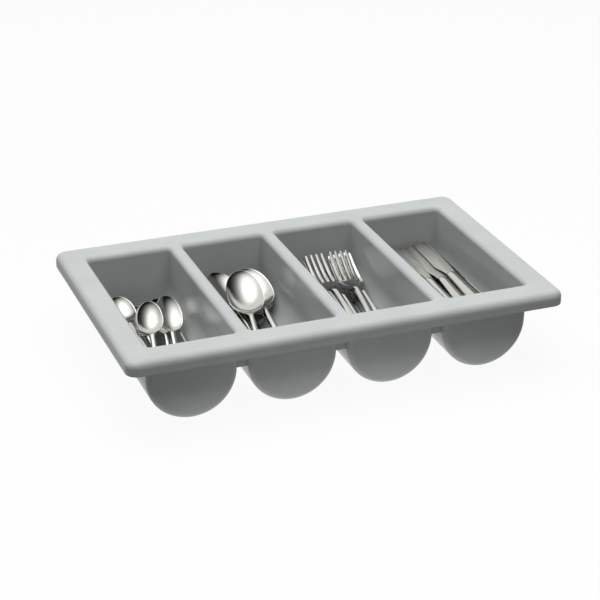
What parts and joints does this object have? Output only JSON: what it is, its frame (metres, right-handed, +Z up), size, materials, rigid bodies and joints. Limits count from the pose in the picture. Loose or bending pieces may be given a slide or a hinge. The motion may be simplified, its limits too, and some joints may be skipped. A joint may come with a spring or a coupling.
{
  "type": "cutlery box",
  "caption": "Grey moulded cutlery box with round-bottomed troughs for teaspoons, tablespoons, forks and knives, each loosely filled with stainless cutlery.",
  "frame": {"origin": "centre of the tray's footprint, at the height of the lowest line of its round trough bottoms", "axes": "+X along the long side towards the knives, -Y the long side nearest the viewer, +Z up"},
  "size_m": [0.53, 0.325, 0.0999],
  "materials": {
    "tray_plastic": "semi-gloss moulded mid-grey plastic",
    "polished_steel": "mirror-polished stainless steel",
    "knife_steel": "stainless steel with a satin blade and a polished handle"
  },
  "bodies": {
    "tray": {"tray": "tray_plastic"},
    "teaspoon_1": {"teaspoon_1": "polished_steel"},
    "teaspoon_2": {"teaspoon_2": "polished_steel"},
    "teaspoon_3": {"teaspoon_3": "polished_steel"},
    "teaspoon_4": {"teaspoon_4": "polished_steel"},
    "teaspoon_5": {"teaspoon_5": "polished_steel"},
    "teaspoon_6": {"teaspoon_6": "polished_steel"},
    "teaspoon_7": {"teaspoon_7": "polished_steel"},
    "teaspoon_8": {"teaspoon_8": "polished_steel"},
    "teaspoon_9": {"teaspoon_9": "polished_steel"},
    "teaspoon_10": {"teaspoon_10": "polished_steel"},
    "tablespoon_1": {"tablespoon_1": "polished_steel"},
    "tablespoon_2": {"tablespoon_2": "polished_steel"},
    "tablespoon_3": {"tablespoon_3": "polished_steel"},
    "tablespoon_4": {"tablespoon_4": "polished_steel"},
    "tablespoon_5": {"tablespoon_5": "polished_steel"},
    "tablespoon_6": {"tablespoon_6": "polished_steel"},
    "tablespoon_7": {"tablespoon_7": "polished_steel"},
    "tablespoon_8": {"tablespoon_8": "polished_steel"},
    "fork_1": {"fork_1": "polished_steel"},
    "fork_2": {"fork_2": "polished_steel"},
    "fork_3": {"fork_3": "polished_steel"},
    "fork_4": {"fork_4": "polished_steel"},
    "fork_5": {"fork_5": "polished_steel"},
    "fork_6": {"fork_6": "polished_steel"},
    "fork_7": {"fork_7": "polished_steel"},
    "fork_8": {"fork_8": "polished_steel"},
    "fork_9": {"fork_9": "polished_steel"},
    "fork_10": {"fork_10": "polished_steel"},
    "fork_11": {"fork_11": "polished_steel"},
    "fork_12": {"fork_12": "polished_steel"},
    "knife_1": {"knife_1": "knife_steel"},
    "knife_2": {"knife_2": "knife_steel"},
    "knife_3": {"knife_3": "knife_steel"},
    "knife_4": {"knife_4": "knife_steel"},
    "knife_5": {"knife_5": "knife_steel"},
    "knife_6": {"knife_6": "knife_steel"},
    "knife_7": {"knife_7": "knife_steel"},
    "knife_8": {"knife_8": "knife_steel"},
    "knife_9": {"knife_9": "knife_steel"},
    "knife_10": {"knife_10": "knife_steel"},
    "knife_11": {"knife_11": "knife_steel"},
    "knife_12": {"knife_12": "knife_steel"},
    "knife_13": {"knife_13": "knife_steel"},
    "knife_14": {"knife_14": "knife_steel"},
    "knife_15": {"knife_15": "knife_steel"},
    "knife_16": {"knife_16": "knife_steel"},
    "knife_17": {"knife_17": "knife_steel"},
    "knife_18": {"knife_18": "knife_steel"}
  },
  "joints": [
    {"name": "teaspoon_1_lift", "type": "slide", "parent": "tray", "child": "teaspoon_1", "axis": [0, 0, 1], "range_m": [0, 0.12]},
    {"name": "teaspoon_2_lift", "type": "slide", "parent": "teaspoon_1", "child": "teaspoon_2", "axis": [0, 0, 1], "range_m": [0, 0.12]},
    {"name": "teaspoon_3_lift", "type": "slide", "parent": "teaspoon_2", "child": "teaspoon_3", "axis": [0, 0, 1], "range_m": [0, 0.12]},
    {"name": "teaspoon_4_lift", "type": "slide", "parent": "teaspoon_3", "child": "teaspoon_4", "axis": [0, 0, 1], "range_m": [0, 0.12]},
    {"name": "teaspoon_5_lift", "type": "slide", "parent": "teaspoon_4", "child": "teaspoon_5", "axis": [0, 0, 1], "range_m": [0, 0.12]},
    {"name": "teaspoon_6_lift", "type": "slide", "parent": "teaspoon_5", "child": "teaspoon_6", "axis": [0, 0, 1], "range_m": [0, 0.12]},
    {"name": "teaspoon_7_lift", "type": "slide", "parent": "teaspoon_6", "child": "teaspoon_7", "axis": [0, 0, 1], "range_m": [0, 0.12]},
    {"name": "teaspoon_8_lift", "type": "slide", "parent": "teaspoon_7", "child": "teaspoon_8", "axis": [0, 0, 1], "range_m": [0, 0.12]},
    {"name": "teaspoon_9_lift", "type": "slide", "parent": "teaspoon_8", "child": "teaspoon_9", "axis": [0, 0, 1], "range_m": [0, 0.12]},
    {"name": "teaspoon_10_lift", "type": "slide", "parent": "teaspoon_9", "child": "teaspoon_10", "axis": [0, 0, 1], "range_m": [0, 0.12]},
    {"name": "tablespoon_1_lift", "type": "slide", "parent": "tray", "child": "tablespoon_1", "axis": [0, 0, 1], "range_m": [0, 0.12]},
    {"name": "tablespoon_2_lift", "type": "slide", "parent": "tablespoon_1", "child": "tablespoon_2", "axis": [0, 0, 1], "range_m": [0, 0.12]},
    {"name": "tablespoon_3_lift", "type": "slide", "parent": "tablespoon_2", "child": "tablespoon_3", "axis": [0, 0, 1], "range_m": [0, 0.12]},
    {"name": "tablespoon_4_lift", "type": "slide", "parent": "tablespoon_3", "child": "tablespoon_4", "axis": [0, 0, 1], "range_m": [0, 0.12]},
    {"name": "tablespoon_5_lift", "type": "slide", "parent": "tablespoon_4", "child": "tablespoon_5", "axis": [0, 0, 1], "range_m": [0, 0.12]},
    {"name": "tablespoon_6_lift", "type": "slide", "parent": "tablespoon_5", "child": "tablespoon_6", "axis": [0, 0, 1], "range_m": [0, 0.12]},
    {"name": "tablespoon_7_lift", "type": "slide", "parent": "tablespoon_6", "child": "tablespoon_7", "axis": [0, 0, 1], "range_m": [0, 0.12]},
    {"name": "tablespoon_8_lift", "type": "slide", "parent": "tablespoon_7", "child": "tablespoon_8", "axis": [0, 0, 1], "range_m": [0, 0.12]},
    {"name": "fork_1_lift", "type": "slide", "parent": "tray", "child": "fork_1", "axis": [0, 0, 1], "range_m": [0, 0.12]},
    {"name": "fork_2_lift", "type": "slide", "parent": "fork_1", "child": "fork_2", "axis": [0, 0, 1], "range_m": [0, 0.12]},
    {"name": "fork_3_lift", "type": "slide", "parent": "fork_2", "child": "fork_3", "axis": [0, 0, 1], "range_m": [0, 0.12]},
    {"name": "fork_4_lift", "type": "slide", "parent": "fork_3", "child": "fork_4", "axis": [0, 0, 1], "range_m": [0, 0.12]},
    {"name": "fork_5_lift", "type": "slide", "parent": "fork_4", "child": "fork_5", "axis": [0, 0, 1], "range_m": [0, 0.12]},
    {"name": "fork_6_lift", "type": "slide", "parent": "fork_5", "child": "fork_6", "axis": [0, 0, 1], "range_m": [0, 0.12]},
    {"name": "fork_7_lift", "type": "slide", "parent": "fork_6", "child": "fork_7", "axis": [0, 0, 1], "range_m": [0, 0.12]},
    {"name": "fork_8_lift", "type": "slide", "parent": "fork_7", "child": "fork_8", "axis": [0, 0, 1], "range_m": [0, 0.12]},
    {"name": "fork_9_lift", "type": "slide", "parent": "fork_8", "child": "fork_9", "axis": [0, 0, 1], "range_m": [0, 0.12]},
    {"name": "fork_10_lift", "type": "slide", "parent": "fork_9", "child": "fork_10", "axis": [0, 0, 1], "range_m": [0, 0.12]},
    {"name": "fork_11_lift", "type": "slide", "parent": "fork_10", "child": "fork_11", "axis": [0, 0, 1], "range_m": [0, 0.12]},
    {"name": "fork_12_lift", "type": "slide", "parent": "fork_11", "child": "fork_12", "axis": [0, 0, 1], "range_m": [0, 0.12]},
    {"name": "knife_1_lift", "type": "slide", "parent": "tray", "child": "knife_1", "axis": [0, 0, 1], "range_m": [0, 0.12]},
    {"name": "knife_2_lift", "type": "slide", "parent": "knife_1", "child": "knife_2", "axis": [0, 0, 1], "range_m": [0, 0.12]},
    {"name": "knife_3_lift", "type": "slide", "parent": "knife_2", "child": "knife_3", "axis": [0, 0, 1], "range_m": [0, 0.12]},
    {"name": "knife_4_lift", "type": "slide", "parent": "knife_3", "child": "knife_4", "axis": [0, 0, 1], "range_m": [0, 0.12]},
    {"name": "knife_5_lift", "type": "slide", "parent": "knife_4", "child": "knife_5", "axis": [0, 0, 1], "range_m": [0, 0.12]},
    {"name": "knife_6_lift", "type": "slide", "parent": "knife_5", "child": "knife_6", "axis": [0, 0, 1], "range_m": [0, 0.12]},
    {"name": "knife_7_lift", "type": "slide", "parent": "knife_6", "child": "knife_7", "axis": [0, 0, 1], "range_m": [0, 0.12]},
    {"name": "knife_8_lift", "type": "slide", "parent": "knife_7", "child": "knife_8", "axis": [0, 0, 1], "range_m": [0, 0.12]},
    {"name": "knife_9_lift", "type": "slide", "parent": "knife_8", "child": "knife_9", "axis": [0, 0, 1], "range_m": [0, 0.12]},
    {"name": "knife_10_lift", "type": "slide", "parent": "knife_9", "child": "knife_10", "axis": [0, 0, 1], "range_m": [0, 0.12]},
    {"name": "knife_11_lift", "type": "slide", "parent": "knife_10", "child": "knife_11", "axis": [0, 0, 1], "range_m": [0, 0.12]},
    {"name": "knife_12_lift", "type": "slide", "parent": "knife_11", "child": "knife_12", "axis": [0, 0, 1], "range_m": [0, 0.12]},
    {"name": "knife_13_lift", "type": "slide", "parent": "knife_12", "child": "knife_13", "axis": [0, 0, 1], "range_m": [0, 0.12]},
    {"name": "knife_14_lift", "type": "slide", "parent": "knife_13", "child": "knife_14", "axis": [0, 0, 1], "range_m": [0, 0.12]},
    {"name": "knife_15_lift", "type": "slide", "parent": "knife_14", "child": "knife_15", "axis": [0, 0, 1], "range_m": [0, 0.12]},
    {"name": "knife_16_lift", "type": "slide", "parent": "knife_15", "child": "knife_16", "axis": [0, 0, 1], "range_m": [0, 0.12]},
    {"name": "knife_17_lift", "type": "slide", "parent": "knife_16", "child": "knife_17", "axis": [0, 0, 1], "range_m": [0, 0.12]},
    {"name": "knife_18_lift", "type": "slide", "parent": "knife_17", "child": "knife_18", "axis": [0, 0, 1], "range_m": [0, 0.12]}
  ]
}
